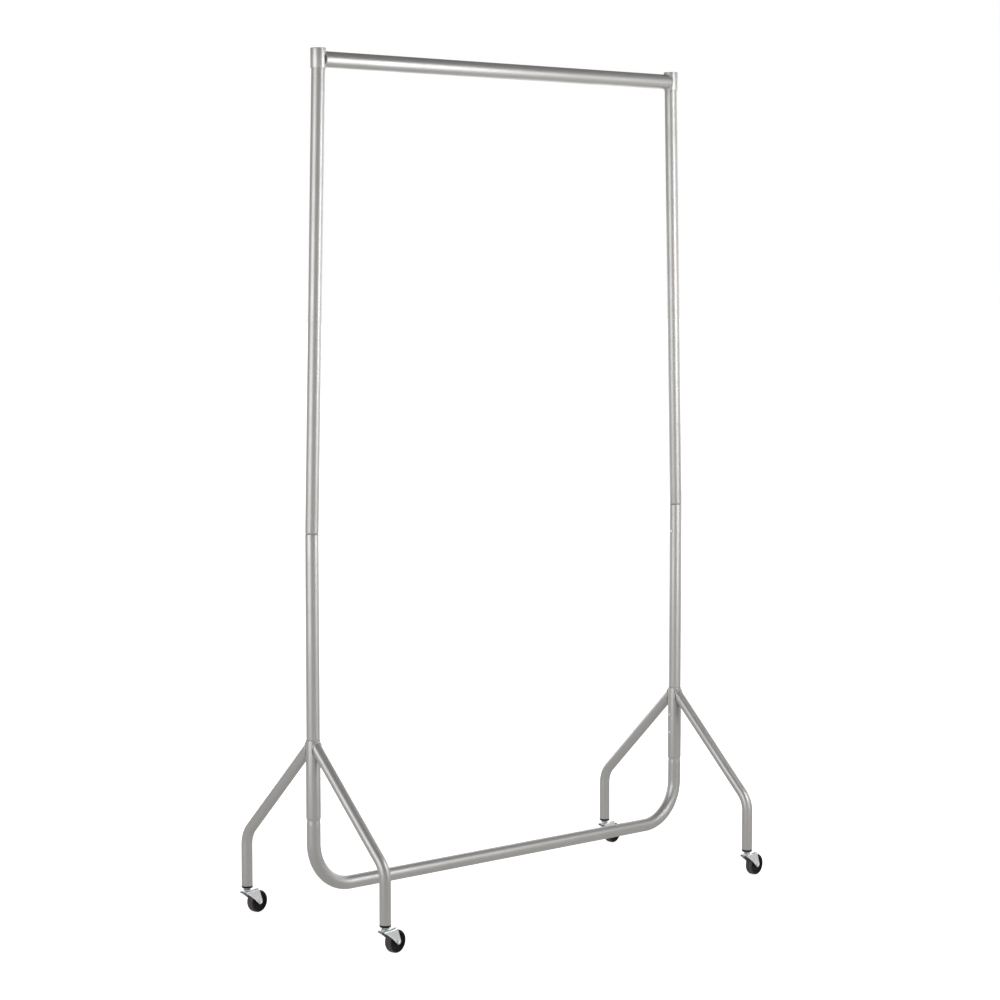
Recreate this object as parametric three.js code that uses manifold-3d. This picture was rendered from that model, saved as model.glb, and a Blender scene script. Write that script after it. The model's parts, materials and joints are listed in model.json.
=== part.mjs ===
// A rolling clothes rack: a hanging rail on two sectioned uprights, joined at the foot by a U-shaped
// base rail and standing on four splayed legs with swivel casters.
// Millimetres, +Z up. X runs along the hanging rail, and -Y is the front.
import * as THREE from "three";
import { mergeVertices } from "three/addons/utils/BufferGeometryUtils.js";
import Module from "manifold-3d";

const wasm = await Module();
wasm.setup();

// Overall sizes.
const HEIGHT = 2100; // floor to the flat tops of the cap plugs
const SPAN = 1224; // between the axes of the two foot sleeves
const LEAN = 27; // how far each upper upright leans in between its splice and its cap
const FOOT_DEPTH = 536; // between the axes of the front and rear legs

// Heights above the floor.
const SPLICE_HEIGHT = 961; // joint between the upper and lower uprights
const SLEEVE_TOP = 469; // rim of the foot sleeves
const LEG_WELD_HEIGHT = 464; // where a leg's axis meets its sleeve's axis
const LEG_BEND_HEIGHT = 201; // where the two straight runs of a leg would meet
const BASE_RAIL_HEIGHT = 110; // axis of the base rail

// Tubes.
const WALL = 1.5;
const RAIL_OD = 38;
const UPRIGHT_OD = 32;
const SLEEVE_OD = 35;
const BASE_RAIL_OD = 33;
const LEG_OD = 27;
const BASE_BEND_RADIUS = 110;
const LEG_BEND_RADIUS = 65;

// Where the tubes meet.
const GAP = 0.3; // between faces that touch
const SLIP = 0.4; // radial, between a plugged end and the tube around it
const CAP_SLIP = 0.8; // radial, between an upright and the cap sleeve over it
const SLEEVE_LENGTH = 191;
const SPLICE_SPIGOT = 90; // reduced end inside the lower upright
const SPIGOT_SPACING = 7; // between the two reduced ends that meet inside a foot sleeve
const TAPER = 4; // length of an upright's shoulder
const BASE_TAPER = 9; // length of the base rail's shoulder
const BASE_NECK = 2.5; // reduced end left bare under the foot sleeve
const ROLL_LENGTH = 5; // rolled-in lower edge of the foot sleeve
const ROLL_DEPTH = 1.1;

// Top end.
const CAP_LENGTH = 45; // cap sleeve without its plug
const PLUG_FLANGE = 2;
const PLUG_SKIRT = 9;
const PLUG_WALL = 2;
const PLUG_EDGE = 1; // chamfer round the plug's top
const RAIL_DROP = 26; // plug top to the hanging rail's axis
const RAIL_SIDE_SETBACK = 12; // rail's side walls end this far from the cap sleeve's axis

// Screws on the inner faces of the uprights.
const SHANK_RADIUS = 2.5;
const HEAD_RADIUS = 4.5;
const HEAD_HEIGHT = 2.2;
const SCREW_TO_SPIGOT_END = 20;
const SCREW_TIP = 2; // shank standing past the reduced end's wall

// Casters.
const WHEEL_DIAMETER = 55;
const TREAD_WIDTH = 18;
const TREAD_FLAT = 11; // flat middle of the tread
const TREAD_SHOULDER = 1.2; // how far the tread falls away at its sides
const TYRE_DEPTH = 5;
const HUB_RADIUS = 7.5;
const WEB_THICKNESS = 6;
const RIM_THICKNESS = 2.5;
const WHEEL_SIDE_GAP = 1; // hub to fork cheek
const TRAIL = 34; // swivel axis to axle
const TRAIL_ANGLE = 8; // degrees from +X towards the rear, the way the casters point
const SHEET = 2; // fork's sheet thickness
const FORK_LEAD = 14; // swivel axis to the fork's front edge
const FORK_HEEL = 6; // axle to the fork's rear top corner, along the trail
const FORK_CORNER = 5; // corner radius of the fork's top plate
const FORK_LOBE = 7; // radius round the axle
const FORK_LOBE_FROM = -130; // degrees, where the cheek's lower edge meets the lobe
const FORK_LOBE_TO = 12;
const FORK_CLEARANCE = 4.5; // wheel to the underside of the fork's top plate
const AXLE_RADIUS = 3;
const AXLE_HEAD_RADIUS = 4.8;
const AXLE_HEAD = 1.5;
const STEM_RADIUS = 4.2;
const STEM_LENGTH = 30; // inside the socket
const STEM_HEAD_RADIUS = 6.5;
const STEM_HEAD = 3;
const STEM_COLLAR = 2;
const RACE_RADIUS = 10;
const RACE_HEIGHT = 2;
const SOCKET_FLANGE = 5;
const SOCKET_RIM = 0.5; // flange standing proud of the leg
const SOCKET_LENGTH = 35;

// Fineness of the round shapes.
const TUBE_SIDES = 20;
const LEG_SIDES = 16;
const WHEEL_SIDES = 20;
const SMALL_SIDES = 10;
const BASE_BEND_STEPS = 6;
const LEG_BEND_STEPS = 4;

// Sizes that follow from the ones above.
const capInner = UPRIGHT_OD / 2 + CAP_SLIP;
const capOuter = capInner + WALL;
const sleeveOuter = SLEEVE_OD / 2;
const sleeveBottom = SLEEVE_TOP - SLEEVE_LENGTH;
const sleeveSpigot = (SLEEVE_LENGTH - SPIGOT_SPACING) / 2;
const sleeveSpigotRadius = sleeveOuter - WALL - SLIP;
const spliceSpigotRadius = UPRIGHT_OD / 2 - WALL - SLIP;
const railHeight = HEIGHT - RAIL_DROP;
const capTop = HEIGHT - PLUG_FLANGE - GAP;
const axleHeight = WHEEL_DIAMETER / 2;
const forkUnderside = WHEEL_DIAMETER + FORK_CLEARANCE;
const forkTop = forkUnderside + SHEET;
const raceTop = forkTop + GAP + RACE_HEIGHT;
const collarTop = raceTop + GAP + STEM_COLLAR;
const flangeTop = collarTop + GAP + SOCKET_FLANGE;
const legEnd = flangeTop + GAP;
const cheekInner = TREAD_WIDTH / 2 + WHEEL_SIDE_GAP;
const cheekOuter = cheekInner + SHEET;
const shankHole = SHANK_RADIUS + GAP;

const FINISHES = {
  silver: { color: 0xa3a29f, roughness: 0.42, metalness: 0.75 },
  zinc: { color: 0xd3d6da, roughness: 0.25, metalness: 1 },
  black_plastic: { color: 0x141414, roughness: 0.5, metalness: 0 },
  rubber: { color: 0x2e2a2b, roughness: 0.8, metalness: 0 },
};

function piece(name, geometry, finish) {
  const mesh = new THREE.Mesh(geometry, new THREE.MeshStandardMaterial(FINISHES[finish]));
  mesh.name = name;
  return mesh;
}

// Joining and cutting.

function toSolid(geometry) {
  const bare = geometry.clone();
  bare.deleteAttribute("normal");
  bare.deleteAttribute("uv");
  const merged = mergeVertices(bare);
  const mesh = new wasm.Mesh({
    numProp: 3,
    vertProperties: merged.attributes.position.array,
    triVerts: new Uint32Array(merged.index.array),
  });
  return new wasm.Manifold(mesh);
}

function toGeometry(solid) {
  const { vertProperties, triVerts } = solid.getMesh();
  const geometry = new THREE.BufferGeometry();
  geometry.setAttribute("position", new THREE.BufferAttribute(vertProperties, 3));
  geometry.setIndex(new THREE.BufferAttribute(triVerts, 1));
  geometry.computeVertexNormals();
  return geometry;
}

function cut(geometry, ...cutters) {
  const start = toSolid(geometry);
  return toGeometry(cutters.reduce((solid, cutter) => solid.subtract(toSolid(cutter)), start));
}

function join(...geometries) {
  return toGeometry(geometries.map(toSolid).reduce((a, b) => a.add(b)));
}

// Round pieces, from a half section of [radius, height] pairs that runs up the outside. A section that
// starts on the axis ends there too, and any other one closes on itself.

function revolved(section, sides, startAngle = 0) {
  const points = section.map(([radius, height]) => new THREE.Vector2(radius, height));
  if (section[0][0] > 0) points.push(points[0].clone());
  return new THREE.LatheGeometry(points, sides, startAngle);
}

function turned(section, sides = TUBE_SIDES) {
  return revolved(section, sides).rotateX(Math.PI / 2);
}

// A wheel part about the Y axis. Its sides lie outside the stated radii, and one faces straight down.
function wheelRound(section) {
  const grown = section.map(([radius, y]) => [radius / Math.cos(Math.PI / WHEEL_SIDES), y]);
  return revolved(grown, WHEEL_SIDES, Math.PI / WHEEL_SIDES);
}

// A cylinder along X from the origin, on the side that faces the rack's middle.
function inwardCylinder(radius, length, height) {
  const cylinder = new THREE.CylinderGeometry(radius, radius, length, SMALL_SIDES);
  return cylinder.rotateZ(Math.PI / 2).translate(length / 2, 0, height);
}

// Bent tubes.

// A path that is read only at its stations, each a point and the direction the tube runs in there.
class StationPath extends THREE.Curve {
  stations = [];

  get steps() {
    return this.stations.length - 1;
  }

  add(point, direction) {
    this.stations.push({ point, direction });
  }

  at(t) {
    return this.stations[Math.round(t * this.steps)];
  }

  getPoint(t, target = new THREE.Vector3()) {
    return target.copy(this.at(t).point);
  }

  getTangent(t, target = new THREE.Vector3()) {
    return target.copy(this.at(t).direction);
  }

  getUtoTmapping(u) {
    return u;
  }
}

// A path through the corners, rounded where they turn. A corner that doesn't turn is a plain station.
function bentPath(corners, bendRadius, bendSteps) {
  const path = new StationPath();
  corners.forEach((corner, i) => {
    const before = corners[i - 1] ?? corner.clone().multiplyScalar(2).sub(corners[i + 1]);
    const after = corners[i + 1] ?? corner.clone().multiplyScalar(2).sub(before);
    const inward = corner.clone().sub(before).normalize();
    const outward = after.clone().sub(corner).normalize();
    const axis = new THREE.Vector3().crossVectors(inward, outward);
    if (axis.length() < 1e-9) {
      path.add(corner, inward);
      return;
    }
    axis.normalize();
    const turn = inward.angleTo(outward);
    const start = corner.clone().addScaledVector(inward, -bendRadius * Math.tan(turn / 2));
    const toCentre = new THREE.Vector3().crossVectors(axis, inward).multiplyScalar(bendRadius);
    const centre = start.clone().add(toCentre);
    for (let step = 0; step <= bendSteps; step++) {
      const angle = (turn * step) / bendSteps;
      const point = start.clone().sub(centre).applyAxisAngle(axis, angle).add(centre);
      path.add(point, inward.clone().applyAxisAngle(axis, angle));
    }
  });
  return path;
}

function pipe(path, outerDiameter, sides) {
  const ring = new THREE.Shape().absarc(0, 0, outerDiameter / 2, 0, 2 * Math.PI);
  ring.holes.push(new THREE.Path().absarc(0, 0, outerDiameter / 2 - WALL, 0, 2 * Math.PI, true));
  return new THREE.ExtrudeGeometry(ring, {
    steps: path.steps,
    curveSegments: sides / 2,
    extrudePath: path,
    bevelEnabled: false,
  });
}

// A straight upright whose reduced lower end plugs into the tube below, with its shoulder on the rim.
function uprightTube(top, rim, spigotLength, spigotRadius) {
  const outer = UPRIGHT_OD / 2;
  const bottom = rim - spigotLength;
  const neck = rim + GAP;
  return turned([
    [spigotRadius, bottom],
    [spigotRadius, neck],
    [outer, neck + TAPER],
    [outer, top],
    [outer - WALL, top],
    [outer - WALL, neck + TAPER],
    [spigotRadius - WALL, neck],
    [spigotRadius - WALL, bottom],
  ]);
}

// Leans an upright towards the rack's middle from its shoulder up, by LEAN at the stated height.
function leanIn(geometry, height) {
  const shoulder = SPLICE_HEIGHT + GAP + TAPER;
  const position = geometry.attributes.position;
  for (let i = 0; i < position.count; i++) {
    const rise = Math.max(position.getZ(i) - shoulder, 0);
    position.setX(i, position.getX(i) + (LEAN * rise) / (height - shoulder));
  }
  geometry.computeVertexNormals();
  return geometry;
}

const spliceScrewHeight = SPLICE_HEIGHT - SPLICE_SPIGOT + SCREW_TO_SPIGOT_END;
const upperSleeveScrewHeight = SLEEVE_TOP - sleeveSpigot + SCREW_TO_SPIGOT_END;
const lowerSleeveScrewHeight = sleeveBottom + sleeveSpigot - SCREW_TO_SPIGOT_END;

function screwHole(height) {
  return inwardCylinder(shankHole, UPRIGHT_OD, height);
}

// Frame pieces that stand on one upright's axis.

function capSleeve() {
  const bottom = capTop - CAP_LENGTH;
  return turned([
    [capOuter, bottom],
    [capOuter, capTop],
    [capInner, capTop],
    [capInner, bottom],
  ]);
}

function capPlug() {
  const skirt = capInner - SLIP;
  return turned([
    [0, capTop + GAP],
    [skirt - PLUG_WALL, capTop + GAP],
    [skirt - PLUG_WALL, capTop - PLUG_SKIRT],
    [skirt, capTop - PLUG_SKIRT],
    [skirt, capTop + GAP],
    [capOuter, capTop + GAP],
    [capOuter, HEIGHT - PLUG_EDGE],
    [capOuter - PLUG_EDGE, HEIGHT],
    [0, HEIGHT],
  ]);
}

function upperUpright() {
  const top = capTop - PLUG_SKIRT - GAP;
  const tube = uprightTube(top, SPLICE_HEIGHT, SPLICE_SPIGOT, spliceSpigotRadius);
  return leanIn(cut(tube, screwHole(spliceScrewHeight)), (top + capTop - CAP_LENGTH) / 2);
}

function lowerUpright() {
  const tube = uprightTube(SPLICE_HEIGHT, SLEEVE_TOP, sleeveSpigot, sleeveSpigotRadius);
  return cut(tube, screwHole(spliceScrewHeight), screwHole(upperSleeveScrewHeight));
}

function footSleeve() {
  const tube = turned([
    [sleeveOuter - ROLL_DEPTH, sleeveBottom],
    [sleeveOuter, sleeveBottom + ROLL_LENGTH],
    [sleeveOuter, SLEEVE_TOP],
    [sleeveOuter - WALL, SLEEVE_TOP],
    [sleeveOuter - WALL, sleeveBottom],
  ]);
  return cut(tube, screwHole(upperSleeveScrewHeight), screwHole(lowerSleeveScrewHeight));
}

function screw(height, tubeRadius, spigotRadius) {
  const tip = tubeRadius + GAP - (spigotRadius - WALL - SCREW_TIP);
  const section = [
    [0, -tip],
    [SHANK_RADIUS, -tip],
    [SHANK_RADIUS, 0],
    [HEAD_RADIUS, 0],
    [HEAD_RADIUS, HEAD_HEIGHT * 0.4],
    [HEAD_RADIUS * 0.6, HEAD_HEIGHT],
    [0, HEAD_HEIGHT],
  ];
  return turned(section, SMALL_SIDES).rotateY(Math.PI / 2).translate(tubeRadius + GAP, 0, height);
}

function uprightAssembly(side) {
  const sleeve = [sleeveOuter, sleeveSpigotRadius];
  const group = new THREE.Group();
  group.add(
    piece(`cap_plug_${side}`, capPlug().translate(LEAN, 0, 0), "silver"),
    piece(`cap_sleeve_${side}`, capSleeve().translate(LEAN, 0, 0), "silver"),
    piece(`upper_upright_${side}`, upperUpright(), "silver"),
    piece(`lower_upright_${side}`, lowerUpright(), "silver"),
    piece(`foot_sleeve_${side}`, footSleeve(), "silver"),
    piece(`splice_screw_${side}`, screw(spliceScrewHeight, UPRIGHT_OD / 2, spliceSpigotRadius), "zinc"),
    piece(`sleeve_screw_upper_${side}`, screw(upperSleeveScrewHeight, ...sleeve), "zinc"),
    piece(`sleeve_screw_lower_${side}`, screw(lowerSleeveScrewHeight, ...sleeve), "zinc"),
  );
  return group;
}

// Rails.

// The hanging rail, saddle-cut round both cap sleeves.
function topRail() {
  const capAxis = SPAN / 2 - LEAN;
  const end = capAxis - RAIL_SIDE_SETBACK;
  const outer = RAIL_OD / 2;
  const tube = turned([
    [outer, -end],
    [outer, end],
    [outer - WALL, end],
    [outer - WALL, -end],
  ]);
  tube.rotateY(Math.PI / 2).translate(0, 0, railHeight);
  const saddles = [-1, 1].map((side) => {
    const saddle = capOuter + GAP;
    const cylinder = new THREE.CylinderGeometry(saddle, saddle, 2 * RAIL_OD, TUBE_SIDES);
    return cylinder.rotateX(Math.PI / 2).translate(side * capAxis, 0, railHeight);
  });
  return cut(tube, ...saddles);
}

// Draws the upright ends of a bent tube down to a smaller radius, above a height.
function drawDownEnds(geometry, neck, ratio) {
  const position = geometry.attributes.position;
  for (let i = 0; i < position.count; i++) {
    if (position.getZ(i) < neck - GAP) continue;
    const axis = (Math.sign(position.getX(i)) * SPAN) / 2;
    position.setXY(i, axis + (position.getX(i) - axis) * ratio, position.getY(i) * ratio);
  }
  return geometry;
}

function baseRail() {
  const neck = sleeveBottom - BASE_NECK;
  const end = sleeveBottom + sleeveSpigot;
  const left = [end, neck, neck - BASE_TAPER, BASE_RAIL_HEIGHT].map(
    (height) => new THREE.Vector3(-SPAN / 2, 0, height),
  );
  const right = left.map((corner) => new THREE.Vector3(SPAN / 2, 0, corner.z)).reverse();
  const path = bentPath([...left, ...right], BASE_BEND_RADIUS, BASE_BEND_STEPS);
  const ratio = sleeveSpigotRadius / (BASE_RAIL_OD / 2);
  const tube = drawDownEnds(pipe(path, BASE_RAIL_OD, TUBE_SIDES), neck, ratio);
  const holes = [-1, 1].map((side) => {
    const hole = inwardCylinder(shankHole, UPRIGHT_OD, lowerSleeveScrewHeight);
    return hole.rotateZ(side > 0 ? Math.PI : 0).translate((side * SPAN) / 2, 0, 0);
  });
  return cut(tube, ...holes);
}

// A rear leg on its sleeve's axis, cut off square where it meets the sleeve. A half turn makes a front leg.
function leg() {
  const corners = [
    new THREE.Vector3(0, 0, LEG_WELD_HEIGHT),
    new THREE.Vector3(0, FOOT_DEPTH / 2, LEG_BEND_HEIGHT),
    new THREE.Vector3(0, FOOT_DEPTH / 2, legEnd),
  ];
  const tube = pipe(bentPath(corners, LEG_BEND_RADIUS, LEG_BEND_STEPS), LEG_OD, LEG_SIDES);
  const block = new THREE.BoxGeometry(2 * LEG_OD, 2 * (sleeveOuter + GAP), 4 * LEG_OD);
  return cut(tube, block.translate(0, 0, LEG_WELD_HEIGHT));
}

// Casters, on the swivel axis with the wheel trailing along +X.

function casterSocket() {
  const outer = LEG_OD / 2 - WALL - SLIP;
  const bore = STEM_RADIUS + SLIP;
  const flange = LEG_OD / 2 + SOCKET_RIM;
  return turned(
    [
      [flange, flangeTop - SOCKET_FLANGE],
      [flange, flangeTop],
      [outer, flangeTop],
      [outer, flangeTop + SOCKET_LENGTH],
      [bore, flangeTop + SOCKET_LENGTH],
      [bore, flangeTop - SOCKET_FLANGE],
    ],
    LEG_SIDES,
  );
}

function casterStem() {
  const headTop = forkUnderside - GAP;
  return turned(
    [
      [0, headTop - STEM_HEAD],
      [STEM_HEAD_RADIUS, headTop - STEM_HEAD],
      [STEM_HEAD_RADIUS, headTop],
      [STEM_RADIUS, headTop],
      [STEM_RADIUS, raceTop + GAP],
      [STEM_HEAD_RADIUS, raceTop + GAP],
      [STEM_HEAD_RADIUS, collarTop],
      [STEM_RADIUS, collarTop],
      [STEM_RADIUS, collarTop + STEM_LENGTH],
      [0, collarTop + STEM_LENGTH],
    ],
    SMALL_SIDES,
  );
}

function swivelRace() {
  const bottom = forkTop + GAP;
  const bore = STEM_RADIUS + SLIP;
  return turned(
    [
      [RACE_RADIUS, bottom],
      [RACE_RADIUS - RACE_HEIGHT / 2, raceTop],
      [bore, raceTop],
      [bore, bottom],
    ],
    LEG_SIDES,
  );
}

function cheek() {
  const radians = THREE.MathUtils.degToRad;
  const outline = new THREE.Shape();
  outline.moveTo(TRAIL - FORK_HEEL, forkTop);
  outline.lineTo(FORK_CORNER - FORK_LEAD, forkTop);
  outline.lineTo(FORK_CORNER - FORK_LEAD, forkUnderside - SHEET);
  outline.absarc(TRAIL, axleHeight, FORK_LOBE, radians(FORK_LOBE_FROM), radians(FORK_LOBE_TO));
  const hole = new THREE.Path().absarc(TRAIL, axleHeight, AXLE_RADIUS + GAP, 0, 2 * Math.PI, true);
  outline.holes.push(hole);
  const plate = new THREE.ExtrudeGeometry(outline, {
    depth: SHEET,
    curveSegments: SMALL_SIDES / 2,
    bevelEnabled: false,
  });
  return plate.rotateX(Math.PI / 2);
}

function casterFork() {
  const front = -FORK_LEAD;
  const rear = TRAIL - FORK_HEEL;
  const outline = new THREE.Shape();
  outline.moveTo(rear, -cheekOuter);
  outline.lineTo(rear, cheekOuter);
  outline.lineTo(front + FORK_CORNER, cheekOuter);
  outline.quadraticCurveTo(front, cheekOuter, front, cheekOuter - FORK_CORNER);
  outline.lineTo(front, FORK_CORNER - cheekOuter);
  outline.quadraticCurveTo(front, -cheekOuter, front + FORK_CORNER, -cheekOuter);
  outline.holes.push(new THREE.Path().absarc(0, 0, STEM_RADIUS + SLIP, 0, 2 * Math.PI, true));
  const plate = new THREE.ExtrudeGeometry(outline, {
    depth: SHEET,
    curveSegments: SMALL_SIDES / 2,
    bevelEnabled: false,
  });
  return join(
    plate.translate(0, 0, forkUnderside),
    cheek().translate(0, cheekOuter, 0),
    cheek().translate(0, -cheekInner, 0),
  );
}

function wheelCore() {
  const bore = AXLE_RADIUS + SLIP;
  const hubHalf = TREAD_WIDTH / 2 + WHEEL_SIDE_GAP - GAP;
  const web = WEB_THICKNESS / 2;
  const rimHalf = TREAD_WIDTH / 2 - 1;
  const rim = WHEEL_DIAMETER / 2 - TYRE_DEPTH - SLIP;
  return wheelRound([
    [bore, -hubHalf],
    [HUB_RADIUS, -hubHalf],
    [HUB_RADIUS, -web],
    [rim - RIM_THICKNESS, -web],
    [rim - RIM_THICKNESS, -rimHalf],
    [rim, -rimHalf],
    [rim, rimHalf],
    [rim - RIM_THICKNESS, rimHalf],
    [rim - RIM_THICKNESS, web],
    [HUB_RADIUS, web],
    [HUB_RADIUS, hubHalf],
    [bore, hubHalf],
  ]);
}

function tyre() {
  const tread = WHEEL_DIAMETER / 2;
  return wheelRound([
    [tread - TYRE_DEPTH, -TREAD_WIDTH / 2],
    [tread - TREAD_SHOULDER, -TREAD_WIDTH / 2],
    [tread, -TREAD_FLAT / 2],
    [tread, TREAD_FLAT / 2],
    [tread - TREAD_SHOULDER, TREAD_WIDTH / 2],
    [tread - TYRE_DEPTH, TREAD_WIDTH / 2],
  ]);
}

function axleRivet() {
  const head = cheekOuter + GAP;
  return revolved(
    [
      [0, -head - AXLE_HEAD],
      [AXLE_HEAD_RADIUS * 0.7, -head - AXLE_HEAD],
      [AXLE_HEAD_RADIUS, -head],
      [AXLE_RADIUS, -head],
      [AXLE_RADIUS, head],
      [AXLE_HEAD_RADIUS, head],
      [AXLE_HEAD_RADIUS * 0.7, head + AXLE_HEAD],
      [0, head + AXLE_HEAD],
    ],
    SMALL_SIDES,
  );
}

function caster(corner) {
  const group = new THREE.Group();
  group.add(
    piece(`caster_socket_${corner}`, casterSocket(), "black_plastic"),
    piece(`caster_stem_${corner}`, casterStem(), "zinc"),
    piece(`swivel_race_${corner}`, swivelRace(), "zinc"),
    piece(`caster_fork_${corner}`, casterFork(), "zinc"),
  );
  const wheel = new THREE.Group();
  wheel.add(
    piece(`axle_rivet_${corner}`, axleRivet(), "zinc"),
    piece(`wheel_core_${corner}`, wheelCore(), "black_plastic"),
    piece(`tyre_${corner}`, tyre(), "rubber"),
  );
  wheel.position.set(TRAIL, 0, axleHeight);
  group.add(wheel);
  group.rotation.z = THREE.MathUtils.degToRad(TRAIL_ANGLE);
  return group;
}

// The whole rack.

const rack = new THREE.Group();
rack.add(piece("top_rail", topRail(), "silver"), piece("base_rail", baseRail(), "silver"));

for (const [side, direction] of [["left", -1], ["right", 1]]) {
  const upright = uprightAssembly(side);
  upright.position.x = (direction * SPAN) / 2;
  upright.rotation.z = direction > 0 ? Math.PI : 0;
  rack.add(upright);

  for (const [end, depth] of [["front", -1], ["rear", 1]]) {
    const corner = `${end}_${side}`;
    const legPiece = piece(`leg_${corner}`, leg(), "silver");
    legPiece.position.x = (direction * SPAN) / 2;
    legPiece.rotation.z = depth < 0 ? Math.PI : 0;
    const casterGroup = caster(corner);
    casterGroup.position.set((direction * SPAN) / 2, (depth * FOOT_DEPTH) / 2, 0);
    rack.add(legPiece, casterGroup);
  }
}

// The origin is on the floor, under the middle of the rack's outer box.
const outerBox = new THREE.Box3().setFromObject(rack, true);
const middle = outerBox.getCenter(new THREE.Vector3());
rack.position.set(-middle.x, -middle.y, -outerBox.min.z);

export default rack;
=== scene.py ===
"""The rolling clothes rack: smooth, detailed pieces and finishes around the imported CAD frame.

Metres, +Z up, in the CAD frame. X runs along the hanging rail, and -Y is the front.
"""
import json
import math

import bmesh
import bpy
from mathutils import Matrix, Vector


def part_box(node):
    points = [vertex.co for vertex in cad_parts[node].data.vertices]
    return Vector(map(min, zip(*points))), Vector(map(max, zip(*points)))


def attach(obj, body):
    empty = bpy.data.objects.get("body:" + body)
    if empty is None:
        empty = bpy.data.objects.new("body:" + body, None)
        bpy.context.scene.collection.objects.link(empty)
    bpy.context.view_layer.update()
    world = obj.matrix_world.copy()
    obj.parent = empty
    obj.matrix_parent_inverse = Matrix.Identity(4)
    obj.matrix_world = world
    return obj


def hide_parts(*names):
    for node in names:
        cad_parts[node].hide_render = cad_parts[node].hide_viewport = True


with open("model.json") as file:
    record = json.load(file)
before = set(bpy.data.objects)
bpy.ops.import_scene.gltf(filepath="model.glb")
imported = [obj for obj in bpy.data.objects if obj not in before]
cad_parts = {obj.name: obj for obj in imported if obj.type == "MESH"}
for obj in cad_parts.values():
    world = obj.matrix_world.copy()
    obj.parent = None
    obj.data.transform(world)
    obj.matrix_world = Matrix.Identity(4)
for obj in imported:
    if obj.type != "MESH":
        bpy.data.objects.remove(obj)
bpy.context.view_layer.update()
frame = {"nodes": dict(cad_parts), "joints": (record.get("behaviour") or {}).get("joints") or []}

MM = 0.001
SIDES = ("left", "right")
ENDS = ("front", "rear")
CORNERS = [f"{end}_{side}" for end in ENDS for side in SIDES]
UP = Vector((0, 0, 1))

# Tube sizes that the CAD boxes don't give.
WALL = 1.5 * MM
RIM_ROUND = 0.45 * MM  # fillet on cut tube ends
SHOULDER = 4 * MM
BASE_SHOULDER = 9 * MM
BASE_NECK = 2.5 * MM
SHOULDER_ROUND = 1.2 * MM
ROLL_LENGTH = 5 * MM
ROLL_DEPTH = 1.1 * MM
BASE_BEND_RADIUS = 110 * MM
LEG_BEND_RADIUS = 65 * MM
LEG_WELD_DROP = 5 * MM  # sleeve rim to where a leg's axis meets the sleeve's
WELD_GAP = 0.3 * MM
PLUG_GAP = 0.4 * MM  # between a plugged-in piece and the tube round it
RAIL_SIDE_SETBACK = 12 * MM

TUBE_SIDES = 72
SMALL_SIDES = 40
BEND_STEP = math.radians(3)
SHARP_ANGLE = math.radians(38)


# Materials.

# Painted light: this layer marks the tyre's running face, which is coloured lighter than the side walls to
# stand in for the light falling on the tread.
PAINTED_TREAD_LIGHT_LAYER = "painted_tread_light"  # 1 on a tyre's running face, 0 on its side walls


def new_material(name):
    material = bpy.data.materials.new(name)
    material.use_nodes = True
    nodes = material.node_tree.nodes
    return material, nodes, material.node_tree.links, nodes["Principled BSDF"]


def noise(nodes, links, coordinates, scale, detail=2.0, roughness=0.5):
    node = nodes.new("ShaderNodeTexNoise")
    node.inputs["Scale"].default_value = scale
    node.inputs["Detail"].default_value = detail
    node.inputs["Roughness"].default_value = roughness
    links.new(coordinates.outputs["Object"], node.inputs["Vector"])
    return node


def spread(nodes, links, source, low, high, lowest=0.3, highest=0.7):
    """Maps a 0 to 1 texture onto a range of values."""
    node = nodes.new("ShaderNodeMapRange")
    node.inputs["From Min"].default_value = lowest
    node.inputs["From Max"].default_value = highest
    node.inputs["To Min"].default_value = low
    node.inputs["To Max"].default_value = high
    links.new(source, node.inputs["Value"])
    return node


def two_tone(nodes, links, factor, first, second):
    node = nodes.new("ShaderNodeMix")
    node.data_type = "RGBA"
    node.inputs[6].default_value = (*first, 1)
    node.inputs[7].default_value = (*second, 1)
    links.new(factor, node.inputs["Factor"])
    return node


def relief(nodes, links, heights, strength, distance):
    """A bump from the sum of the given height sources, each with its own share."""
    total = None
    for source, share in heights:
        scaled = nodes.new("ShaderNodeMath")
        scaled.operation = "MULTIPLY"
        scaled.inputs[1].default_value = share
        links.new(source, scaled.inputs[0])
        if total is None:
            total = scaled
            continue
        added = nodes.new("ShaderNodeMath")
        added.operation = "ADD"
        links.new(total.outputs[0], added.inputs[0])
        links.new(scaled.outputs[0], added.inputs[1])
        total = added
    bump = nodes.new("ShaderNodeBump")
    bump.inputs["Strength"].default_value = strength
    bump.inputs["Distance"].default_value = distance
    links.new(total.outputs[0], bump.inputs["Height"])
    return bump


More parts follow.
